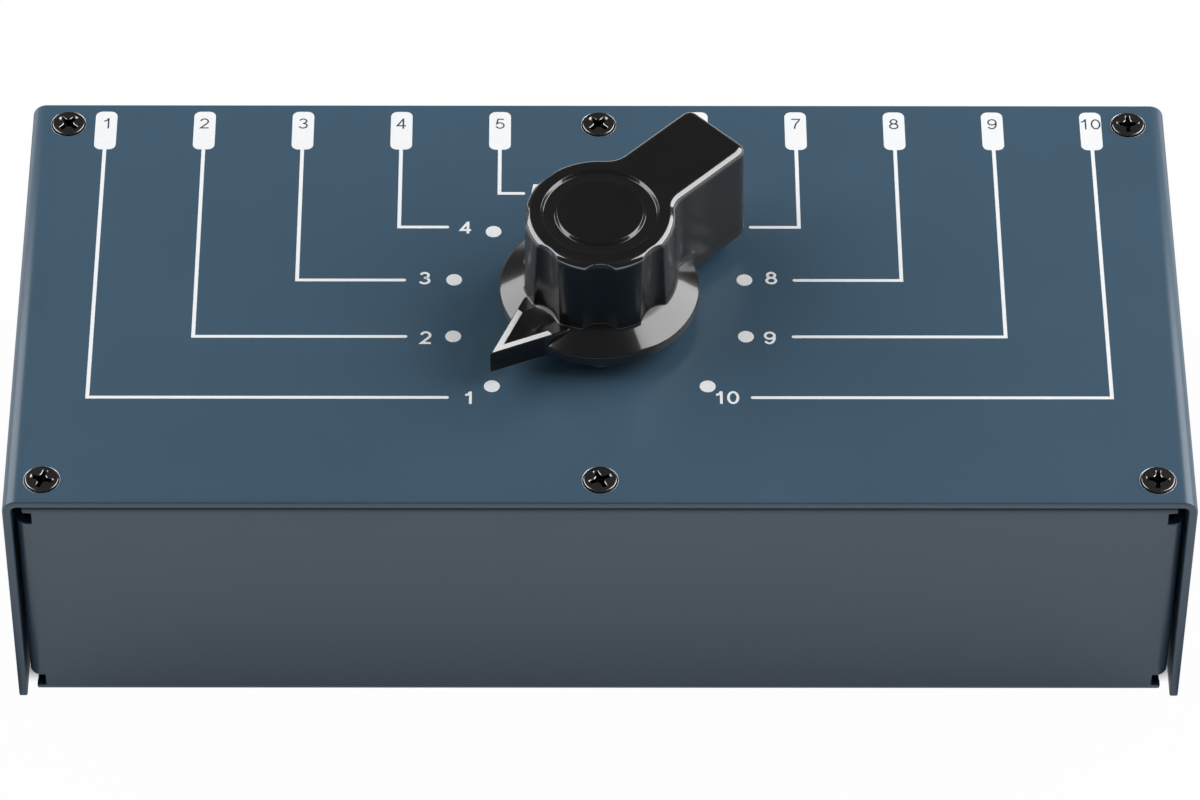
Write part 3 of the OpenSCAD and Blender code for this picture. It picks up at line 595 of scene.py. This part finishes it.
# A thin bare ring where each seat's edge has lost its paint
seat_edge = [(-0.17, -0.16), (-0.01, 0), (0.03, 0.012), (0.06, 0), (-0.1, -0.16), (-0.17, -0.16)]
seat_ring = turned(np.array(seat_edge) + [SEAT_R, TOP])
place_skins("bare_screw_seats", [seat_ring + [x, y, 0] for x, y in SCREW_SPOTS], "case", "zinc_steel")

for foot in FEET:
    low, high = corners(foot)
    foot_r, foot_h = (high[0] - low[0]) / 2, high[2]
    foot_profile = np.concatenate([
        [(1.6, 0.7), (1.9, 0.55), (2.2, 0.12), (2.5, 0)],
        np.array([(-1.2, 0), (-0.85, 0.1), (-0.65, 0.35)]) + [foot_r, 0],
        np.array([(-0.12, -0.4), (0, -0.12), (-0.12, 0)]) + [foot_r, foot_h],
    ])
    foot_skin = shut(turned(foot_profile)) + (low + high) / 2 * [1, 1, 0]
    place_skins(f"{foot}_pad", [foot_skin], "case", "foot_rubber", [foot])


# Sockets

for jack in JACKS:
    eased_copy(jack, f"{jack}_moulding", "jack_plastic", 0.2)

jack_boxes = np.array([corners(jack) for jack in JACKS])
JACK_AXES = jack_boxes.mean(1)[:, None, None] * [1, 0, 1]
SOCKET_R, WASHER_R, NUT_ACROSS = 4.68, 6.72, 12.7
NUT_LOW, NUT_HIGH = (corner[1] for corner in corners("jack_nuts"))
WASHER_LOW, WASHER_HIGH = (corner[1] for corner in corners("jack_washers"))


def at_sockets(skin):
    """A skin made about the Z axis, laid along Y and repeated on every socket's axis."""
    return list(JACK_AXES + skin[..., [0, 2, 1]])


def nut_skin(lip=0.35, sink=0.3, set_in=0.12, chamfer=30, count=96):
    """A hexagon nut: the radius is half its width over the cosine of the turn off each flat.

    A chamfer, in degrees, holds the radius in at both ends, and the bore is flared at both ends.
    """
    turn = np.linspace(0, FULL, count, endpoint=False)
    flat = NUT_ACROSS / 2 / np.cos(turn % (FULL / 6) - FULL / 12)
    thick = NUT_HIGH - NUT_LOW
    step = np.array([0, 0.05, 0.15, 0.3, 0.5, 0.8])
    height = np.concatenate([step, thick - step[::-1]])
    reach = NUT_ACROSS / 2 - set_in + np.minimum(height, thick - height) / np.tan(np.radians(chamfer))
    outside = np.minimum(flat, reach[:, None])
    bore, mouth = (np.full((1, count), radius) for radius in (SOCKET_R, SOCKET_R + lip))
    radius = np.concatenate([bore, mouth, outside, mouth, bore, bore])
    level = NUT_LOW + np.concatenate([[sink, 0], height, [thick, thick - sink, sink]])[:, None] + 0 * turn
    return np.stack([radius * np.cos(turn), radius * np.sin(turn), level], -1)


washer_profile = [
    (SOCKET_R, WASHER_LOW + 0.1), (SOCKET_R + 0.1, WASHER_LOW), (WASHER_R - 0.12, WASHER_LOW),
    (WASHER_R, WASHER_LOW + 0.12), (WASHER_R, WASHER_HIGH - 0.2), (WASHER_R - 0.08, WASHER_HIGH - 0.04),
    (WASHER_R - 0.22, WASHER_HIGH), (SOCKET_R + 0.17, WASHER_HIGH), (SOCKET_R, WASHER_HIGH - 0.1),
    (SOCKET_R, WASHER_LOW + 0.1),
]
place_skins("socket_nuts", at_sockets(nut_skin()), "case", "nickel", ["jack_nuts"])
place_skins("socket_washers", at_sockets(turned(washer_profile)), "case", "nickel", ["jack_washers"])


# Knob


def off_pointer(turn):
    """How far each turn lies from the pointer, to either side."""
    return np.abs((turn + np.pi) % FULL - np.pi)


def grip_wall(turn, inset):
    """Distance from the axis to the grip's wall at each turn, the pointer being at 0, drawn in by inset.

    Round the front it is the barrel's circle or, if that is less, where a ray meets the near side of a
    flute's upright circle. Round the back it is, in order, the near side of the fillet's circle, the finger
    bar's straight side, the far side of its corner circle and its straight end.
    """
    ahead = off_pointer(turn)
    behind = np.pi - ahead
    barrel = BARREL_R - inset
    reach = BARREL_R - FLUTE_DEPTH + FLUTE_R
    radius = barrel + 0 * ahead
    for flute in FLUTE_TURNS:
        off = ahead - flute
        depth = (FLUTE_R + np.minimum(inset, 0)) ** 2 - (reach * np.sin(off)) ** 2
        near = reach * np.cos(off) - np.sqrt(np.maximum(depth, 0))
        radius = np.where((depth > 0) & (np.cos(off) > 0), np.minimum(radius, near), radius)
    half, end, fillet = BAR_HALF - inset, BAR_REACH - inset, BAR_FILLET + inset
    corner = np.maximum(BAR_CORNER - inset, 0.05)
    span = barrel + fillet
    meet = np.arcsin((half + fillet) / span)
    corner_x, corner_y = end - corner, half - corner
    corner_turn, corner_span = np.arctan2(corner_y, corner_x), np.hypot(corner_x, corner_y)
    near = np.sqrt(np.maximum(fillet ** 2 - (span * np.sin(behind - meet)) ** 2, 0))
    far = np.sqrt(np.maximum(corner ** 2 - (corner_span * np.sin(behind - corner_turn)) ** 2, 0))
    stretches = [
        (np.arctan2(corner_y, end), end / np.cos(behind)),
        (np.arctan2(half, corner_x), corner_span * np.cos(behind - corner_turn) + far),
        (np.arctan2(half, span * np.cos(meet)), half / np.sin(np.maximum(behind, 0.01))),
        (meet, span * np.cos(behind - meet) - near),
    ]
    return np.select([behind <= last for last, _ in stretches], [reached for _, reached in stretches], radius)


def pointer_edge(turn, inset):
    """Distance from the axis to the pointer's straight edge at each turn, drawn in by inset."""
    ahead = off_pointer(turn)
    tip = POINTER_REACH - inset / np.sin(POINTER_HALF)
    return np.where(ahead < 1, tip * np.sin(POINTER_HALF) / np.sin(POINTER_HALF + ahead), 0)


def skirt_cone(radius):
    """Height of the skirt's cone at a radius, and of its rim past it."""
    slope = (SHOULDER_H - RIM_H) / (SKIRT_R - BARREL_R)
    return RIM_H + slope * (SKIRT_R - np.minimum(radius, SKIRT_R))


def knob_turns():
    """Turns round the knob, closer together where its outline bends, alike on both sides of the pointer."""
    stops = np.radians([0, 2, 30, 136, 155, 160, 172, 180])
    counts = [10, 44, 124, 32, 8, 36, 10]
    side = np.concatenate([np.linspace(a, b, n, endpoint=False) for a, b, n in zip(stops, stops[1:], counts)])
    return np.concatenate([side, [np.pi], -side[:0:-1]])


def channel_rows(lip=0.14, lean=0.4):
    """Radius and height over the top and its ring channel: rounded lips, leaning walls, eased corners."""
    floor = KNOB_H - CHANNEL_DEPTH
    toe = [(lean - 0.06, floor + 0.1), (lean - 0.02, floor + 0.03), (lean + 0.1, floor)]
    wall = np.concatenate([[0, KNOB_H] - rounding(lip, 0, 60), toe])
    return np.concatenate([
        [(0, KNOB_H), (CHANNEL_IN - 0.4, KNOB_H)],
        [CHANNEL_IN, 0] + wall,
        [CHANNEL_OUT, 0] + wall[::-1] * [-1, 1],
        [(CHANNEL_OUT + 0.35, KNOB_H)],
    ])


def knob_skin(base_fillet=0.35, pointer_ease=0.25, hole_lip=0.35, hole_sink=0.3):
    """The knob as rows of radius and height over its turns, from the middle of its top to its hole's roof.

    The rows go out over the top and its ring channel, round the edge, down the drafted wall, round a small
    fillet, over the pointer and the skirt's cone to the rim, and back in underneath. Where the grip or the
    pointer stands past the skirt, the rows of the skirt close up on its wall.
    """
    turn = knob_turns()
    grip = grip_wall(turn, 0)
    fillet = np.minimum(base_fillet, 0.5 * np.maximum(SKIRT_R - grip, 0))
    foot = grip_wall(turn, -fillet)
    on_pointer = pointer_edge(turn, 0.3) > foot

    def landing(radius, level=SHOULDER_H):
        """The skirt's cone, or the pointer at its level where that is higher."""
        cone = skirt_cone(radius)
        return np.where(on_pointer, np.maximum(level, cone), cone)

    rows = [*channel_rows(), (grip_wall(turn, DRAFT + EDGE_ROUND + 0.12), KNOB_H)]
    rows += [(grip_wall(turn, DRAFT + inset), KNOB_H - drop) for inset, drop in rounding(EDGE_ROUND, steps=9)]
    crest, base = KNOB_H - EDGE_ROUND, landing(grip) + fillet
    for share in (0.02, 0.35, 0.7, 0.98):
        rows.append((grip_wall(turn, DRAFT * (1 - share)), crest + (base - crest) * share))
    for lift, out in rounding(1, steps=6):
        radius = grip_wall(turn, -fillet * out)
        rows.append((radius, landing(radius) + fillet * lift))
    brink = np.where(on_pointer, pointer_edge(turn, pointer_ease), foot)
    for share in (0.04, 0.5, 0.97):
        radius = foot + (brink - foot) * share
        rows.append((radius, landing(radius)))
    for inset, drop in rounding(pointer_ease):
        radius = np.where(on_pointer, np.maximum(pointer_edge(turn, inset), foot), foot)
        rows.append((radius, landing(radius, SHOULDER_H - drop)))
    edge = np.where(on_pointer, pointer_edge(turn, 0), foot)
    rows.append((edge, skirt_cone(edge)))
    for share in (0.03, 0.3, 0.6, 0.97):
        radius = np.maximum(edge, edge + (SKIRT_R - 0.3 - edge) * share)
        rows.append((radius, skirt_cone(radius)))
    for back, drop in [(0.14, 0.0), (0.05, 0.05), (0.0, 0.18), (0.0, 0.3)]:
        rows.append((np.maximum(edge, SKIRT_R - back), skirt_cone(SKIRT_R - back) - drop))
    rim = np.maximum(edge, SKIRT_R)
    rows += [(rim - back, level) for back, level in [(0, 0.4), (0, 0.25), (0.08, 0.08), (0.25, 0), (0.5, 0)]]
    rows += [(HOLE_R + hole_lip, 0), (HOLE_R, hole_sink), (HOLE_R, HOLE_DEPTH), (0, HOLE_DEPTH)]
    radius, height = (np.stack([value + 0 * turn for value in column]) for column in zip(*rows))
    across = turn + REST_TURN
    x, y = AXIS_X + radius * np.cos(across), AXIS_Y + radius * np.sin(across)
    return np.stack([x, y, KNOB_LOW + height], -1)


def at_knob(points):
    """Points drawn with the pointer along X, turned to the rest position on the knob's axis."""
    return spun(points, REST_TURN) + [AXIS_X, AXIS_Y, KNOB_LOW]


def inlay_skin(edge=0.2, width=1.1, start=17.1, rise=0.03, depth=0.4, ease=0.06):
    """The white V: a flat bar section with eased upper corners, carried along the pointer's two edges."""
    across = np.array([0.0, 0.0, ease, width - ease, width, width])
    level = SHOULDER_H + np.array([-depth, rise - 0.02, rise, rise, rise - 0.02, -depth])
    tip = POINTER_REACH - (edge + across) / np.sin(POINTER_HALF)
    wide = (tip - start) * np.tan(POINTER_HALF)
    base = np.full(len(across), start)
    stations = [(base, -wide), (tip, 0 * tip), (base, wide)]
    return at_knob(shut(np.stack([np.stack([x, y, level], -1) for x, y in stations])))


def set_screw_hole(radius=2.05, inner=5.0, outer=20.0):
    """A round cutter laid from the shaft's hole out into the finger bar, half way up the knob."""
    upright = shut(turned([(radius, inner), (radius, outer)], 48))
    return at_knob(upright[..., [2, 0, 1]] * [-1, -1, 1] + [0, 0, KNOB_H / 2])


knob_moulding = cut(make_mesh("knob_moulding", [knob_skin()]), [set_screw_hole()])
place("knob_moulding", knob_moulding, "selector", "knob_plastic", ["knob"], crease=50)
place_skins("pointer_stripe", [inlay_skin()], "selector", "white_inlay", ["pointer_inlay"])


# Printed dial

INK, STROKE_STEP = 0.03, 0.004
COLUMN_X = {n: np.mean(corners(f"input_{n}_left_jack"), 0)[0] for n in INPUTS}
TAB_FRONT, TAB_REAR, TAB_W, TAB_CORNER = FRONT + 91.65, FRONT + 102.0, 4.2, 1.3
TAB_FIGURE_Y = TAB_REAR - 3.25
LINE_Y = FRONT + np.array([26.4, 42.0, 56.7, 70.75, 79.8])
LINE_END = (28.5, 36.5, 37.0, 29.0, 14.5)
LINE_W, LINE_UNDER_TAB = 0.72, 0.6
DIAL_R, DOT_R, DOT_TURN = 28.48, 1.5, np.radians(30)
DIAL_NUMBERS = [(-24.6, 26.3), (-32.6, 41.7), (-33.1, 57.2), (-25.4, 70.6), (-11.9, 80.6),
                (11.9, 80.6), (24.7, 70.6), (32.6, 57.3), (32.0, 41.7), (23.7, 26.4)]


def tab_skin(x):
    """A printed tab: a rounded outline with its edge sloping down to the paint."""
    outline = [(rounded_loop(TAB_W - 2 * inset, TAB_REAR - TAB_FRONT - 2 * inset, TAB_CORNER - inset), level)
               for inset, level in ((0, 0), (0.02, INK))]
    rings = np.stack([np.column_stack([loop, np.full(len(loop), TOP + level)]) for loop, level in outline])
    return shut(rings + [x, (TAB_FRONT + TAB_REAR) / 2, 0])


def inked(path, width, level, closed=False, round_ends=False):
    """A stroke of ink: a flat section carried along a path in the panel's plane, with its corners mitred.

    A mitre's offset is the sum of the two sides' normals over one plus their dot product. Round ends go on
    past the path in steps, with the width falling as a quarter circle.
    """
    path = np.array(path, float)
    if closed:
        path = np.concatenate([path, path[:1]])
    steps = np.diff(path, axis=0)
    steps /= np.linalg.norm(steps, axis=1, keepdims=True)
    normal = np.stack([-steps[:, 1], steps[:, 0]], -1)
    before = np.concatenate([normal[-1:] if closed else normal[:1], normal])
    after = np.concatenate([normal, normal[:1] if closed else normal[-1:]])
    mitre = (before + after) / (1 + (before * after).sum(1, keepdims=True))
    half = np.full(len(mitre), width / 2)
    if round_ends:
        swing = angles(84, 0, 8)[:-1]
        past = width / 2 * np.sin(swing)[:, None]
        path = np.concatenate([path[0] - past * steps[0], path, (path[-1] + past * steps[-1])[::-1]])
        first, last = (np.repeat(end, len(swing), 0) for end in (mitre[:1], mitre[-1:]))
        mitre = np.concatenate([first, mitre, last])
        half = np.concatenate([width / 2 * np.cos(swing), half, width / 2 * np.cos(swing[::-1])])
    across = half[:, None] * [-1, -0.92, 0.92, 1]
    height = TOP + level + np.broadcast_to([0, INK, INK, 0], across.shape)
    rings = np.concatenate([path[:, None] + across[..., None] * mitre[:, None], height[..., None]], -1)
    return rings if closed else shut(rings)


def line_skin(n):
    """A lead line from a tab to its corner and in to its rounded end."""
    step = min(n, len(INPUTS) + 1 - n) - 1
    x, y, end = COLUMN_X[n], LINE_Y[step], np.sign(COLUMN_X[n]) * LINE_END[step]
    return inked([(x, TAB_FRONT + LINE_UNDER_TAB), (x, y), (end, y)], LINE_W, -0.1 * INK, round_ends=True)


def dot_skin(n):
    """A position dot: a flat disc of ink with a sloping edge, set on the dial's circle."""
    turn = REST_TURN - DOT_TURN * (n - 1)
    disc = shut(turned([(DOT_R, TOP), (DOT_R - 0.03, TOP + INK)], 48))
    return disc + [AXIS_X + DIAL_R * np.cos(turn), AXIS_Y + DIAL_R * np.sin(turn), 0]


def bow(x, y, wide, high, start, end, count=14):
    """Points on an ellipse about (x, y), from one angle to another in degrees."""
    turn = angles(start, end, count)
    return np.stack([x + wide * np.cos(turn), y + high * np.sin(turn)], -1)


def ring(x, y, wide, high):
    """A closed stroke round a whole ellipse, as its points and True."""
    return bow(x, y, wide, high, 0, 360, 33)[:-1], True


def stroke(*runs):
    """An open stroke through runs of points, as its points and False."""
    return np.concatenate(runs), False


# Each figure's strokes in a box one high
FIGURES = {
    "0": [ring(0.34, 0.5, 0.28, 0.44)],
    "1": [stroke([(0.42, 0), (0.42, 1)]), stroke(bow(0.10, 1.02, 0.30, 0.30, 272, 350, 7))],
    "2": [stroke(bow(0.335, 0.69, 0.26, 0.25, 172, -32), [(0.09, 0.058), (0.64, 0.058)])],
    "3": [stroke(bow(0.325, 0.735, 0.235, 0.207, 165, -80), bow(0.325, 0.285, 0.275, 0.227, 82, -162))],
    "4": [stroke([(0.68, 0.29), (0.07, 0.29), (0.47, 0.93)]), stroke([(0.49, 0), (0.49, 1)])],
    "5": [stroke([(0.60, 0.942), (0.19, 0.942), (0.12, 0.49)], bow(0.335, 0.325, 0.275, 0.267, 128, -160))],
    "6": [ring(0.345, 0.315, 0.275, 0.257), stroke(bow(0.37, 0.5, 0.30, 0.442, 205, 38))],
    "7": [stroke([(0.06, 0.942), (0.62, 0.942)], bow(0.90, -0.02, 0.62, 0.92, 122, 178, 9))],
    "8": [ring(0.34, 0.735, 0.225, 0.207), ring(0.34, 0.29, 0.28, 0.232)],
    "9": [ring(0.335, 0.685, 0.275, 0.257), stroke(bow(0.31, 0.5, 0.30, 0.442, 25, -142))],
}
FIGURE_STEP = 0.78


def number_skins(n, x, y, height, weight, level):
    """A number as inked strokes, its figures side by side and its box centred on (x, y).

    Each stroke lies a little over the one before it, so that no two faces share a plane.
    """
    strokes = [(points * height + [at * FIGURE_STEP * height, 0], closed)
               for at, figure in enumerate(str(n)) for points, closed in FIGURES[figure]]
    every = np.concatenate([points for points, _ in strokes])
    middle = (every.min(0) + every.max(0)) / 2
    return [inked(points - middle + [x, y], weight, level + over * STROKE_STEP, closed)
            for over, (points, closed) in enumerate(strokes)]


dial_numbers = [skin for n, (x, y) in zip(INPUTS, DIAL_NUMBERS)
                for skin in number_skins(n, x, FRONT + y, 3.15, 0.52, 0)]
tab_numbers = [skin for n in INPUTS
               for skin in number_skins(n, COLUMN_X[n], TAB_FIGURE_Y, 2.8, 0.29, 0.8 * INK)]
place_skins("number_tabs", [tab_skin(COLUMN_X[n]) for n in INPUTS], "case", "white_inlay")
place_skins("lead_lines", [line_skin(n) for n in INPUTS], "case", "white_inlay")
place_skins("position_dots", [dot_skin(n) for n in INPUTS], "case", "white_inlay")
place_skins("dial_numbers", dial_numbers, "case", "white_inlay")
place_skins("tab_numbers", tab_numbers, "case", "panel_paint", finish=TAB_INK)


# Finishes of the frame's own pieces

for row in frame["record"]["subparts"]:
    mesh = frame["nodes"][row["node"]].data
    mesh.materials.clear()
    mesh.materials.append(FINISHES[row["material_slot"]].material)


# Floor, light and camera


def studio_floor(half_x=110, half_y=54, reach=3.0, pale=0.98):
    """A wide pale sheet that keeps a share of its real light and shadow, and all of it under the box.

    The camera sees it nearly white. Mirrors see painted light and shade on it: white round the box, a painted
    shadow that makes it greyer close to the box and behind it, a painted fall-off that fades it far off, and a
    painted dark strip beside each cheek.
    """
    mesh = bpy.data.meshes.new("studio_floor")
    sheet = [(-reach, -reach, 0), (reach, -reach, 0), (reach, reach, 0), (-reach, reach, 0)]
    mesh.from_pydata(sheet, [], [(0, 1, 2, 3)])
    floor = bpy.data.objects.new("studio_floor", mesh)
    bpy.context.scene.collection.objects.link(floor)
    finish = Finish("studio_floor", Roughness=0.9, Base_Color=(0.65, 0.65, 0.65, 1))
    off_x, off_y = (finish.node("ShaderNodeMath", {"operation": "ABSOLUTE"}, {0: finish.axis(axis)})
                    for axis in (0, 1))
    out_x, out_y = off_x - half_x * MM, off_y - half_y * MM
    gap = finish.node("ShaderNodeMath", {"operation": "MAXIMUM"}, {0: out_x, 1: out_y})
    depth = finish.axis(1)
    # painted shadow and painted fall-off, seen only in mirrors: greyer near the box and behind it, fading far off
    near = finish.ramp_mm(gap, 0, 45)
    far = finish.ramp_mm(gap, 300, 700)
    behind = finish.ramp_mm(depth, -40, 40)
    # painted shadow: a strip beside each cheek that mirrors see dark
    strip = finish.ramp_mm(out_x, 0, 2) * (1 - finish.ramp_mm(out_x, 30, 50))
    beside = strip * finish.ramp_mm(depth, -75, -60)
    under = (1 - finish.ramp_mm(out_x, -0.5, 0)) * (1 - finish.ramp_mm(out_y, -9, -6))
    mirrored = (0.25 + 0.75 * near) * (1 - 0.9 * far) * (1 - 0.7 * behind)
    camera, glossy, through = (finish.node("ShaderNodeLightPath", {}, {}, f"Is {kind} Ray")
                               for kind in ("Camera", "Glossy", "Transmission"))
    seen = (1 - under) * (pale * camera + mirrored * glossy + pale * through)
    white, dark = (finish.node("ShaderNodeEmission", {}, {"Color": (1, 1, 1, 1), "Strength": level})
                   for level in (1.0, 0.0))
    real = Tone(finish, finish.shader.outputs[0])
    lit = finish.node("ShaderNodeMixShader", {}, {0: seen, 1: real, 2: white})
    mixed = finish.node("ShaderNodeMixShader", {}, {0: 0.95 * beside * glossy, 1: lit, 2: dark})
    finish.feed(finish.tree.nodes["Material Output"].inputs["Surface"], mixed)
    mesh.materials.append(finish.material)


def stand(name, data, across, back, spot):
    """Puts a lamp or a camera at a spot, its width lying along across and its back turned to back."""
    columns = np.column_stack([across, np.cross(back, across), back, spot])
    holder = bpy.data.objects.new(name, data)
    holder.matrix_world = Matrix([*columns.tolist(), [0, 0, 0, 1]])
    bpy.context.scene.collection.objects.link(holder)
    return holder


def softbox(name, spot, target, along, level, width=1.31, height=1.03):
    """A soft rectangular lamp that faces its target, its width lying along a direction.

    Its power is its face's level times pi times its area.
    """
    lamp = bpy.data.lights.new(name, "AREA")
    lamp.shape, lamp.size, lamp.size_y = "RECTANGLE", width, height
    lamp.energy = level * np.pi * width * height
    back = np.subtract(spot, target)
    back /= np.linalg.norm(back)
    across = along - back * np.dot(along, back)
    stand(name, lamp, across / np.linalg.norm(across), back, spot)


def photo_camera():
    """The camera at the photograph's place: in front and above, looking down, with a slight turn and roll."""
    down, turn, roll = np.radians((47.24, 0.496, 0.409))
    ahead = np.array([np.sin(turn) * np.cos(down), np.cos(turn) * np.cos(down), -np.sin(down)])
    level = np.array([np.cos(turn), -np.sin(turn), 0])
    right = np.cos(roll) * level + np.sin(roll) * np.cross(level, ahead)
    lens = bpy.data.cameras.new("photo_camera")
    lens.sensor_fit, lens.sensor_width, lens.lens = "HORIZONTAL", 36.0, 190.76
    eye = np.array([-6.93, FRONT - 778.51, TOP + 869.80]) * MM
    bpy.context.scene.camera = stand("photo_camera", lens, right, -ahead, eye)


studio_floor()
for name, side, forward, level in (("left_softbox", -1, 0.0, 2.95), ("right_softbox", 1, 0.07, 3.65)):
    spot = (side * 0.876, 0.374 - forward, 0.627 + forward / 2)
    target = (0, 0.421 - forward, 0.06)
    softbox(name, spot, target, np.array([-0.6 * side, 1, -0.47]), level)
world = bpy.data.worlds.new("studio")
world.use_nodes = True
backdrop = world.node_tree.nodes["Background"]
backdrop.inputs["Color"].default_value = (1, 1, 1, 1)
backdrop.inputs["Strength"].default_value = 0.06
bpy.context.scene.world = world
bpy.context.scene.view_settings.view_transform = "Standard"
photo_camera()
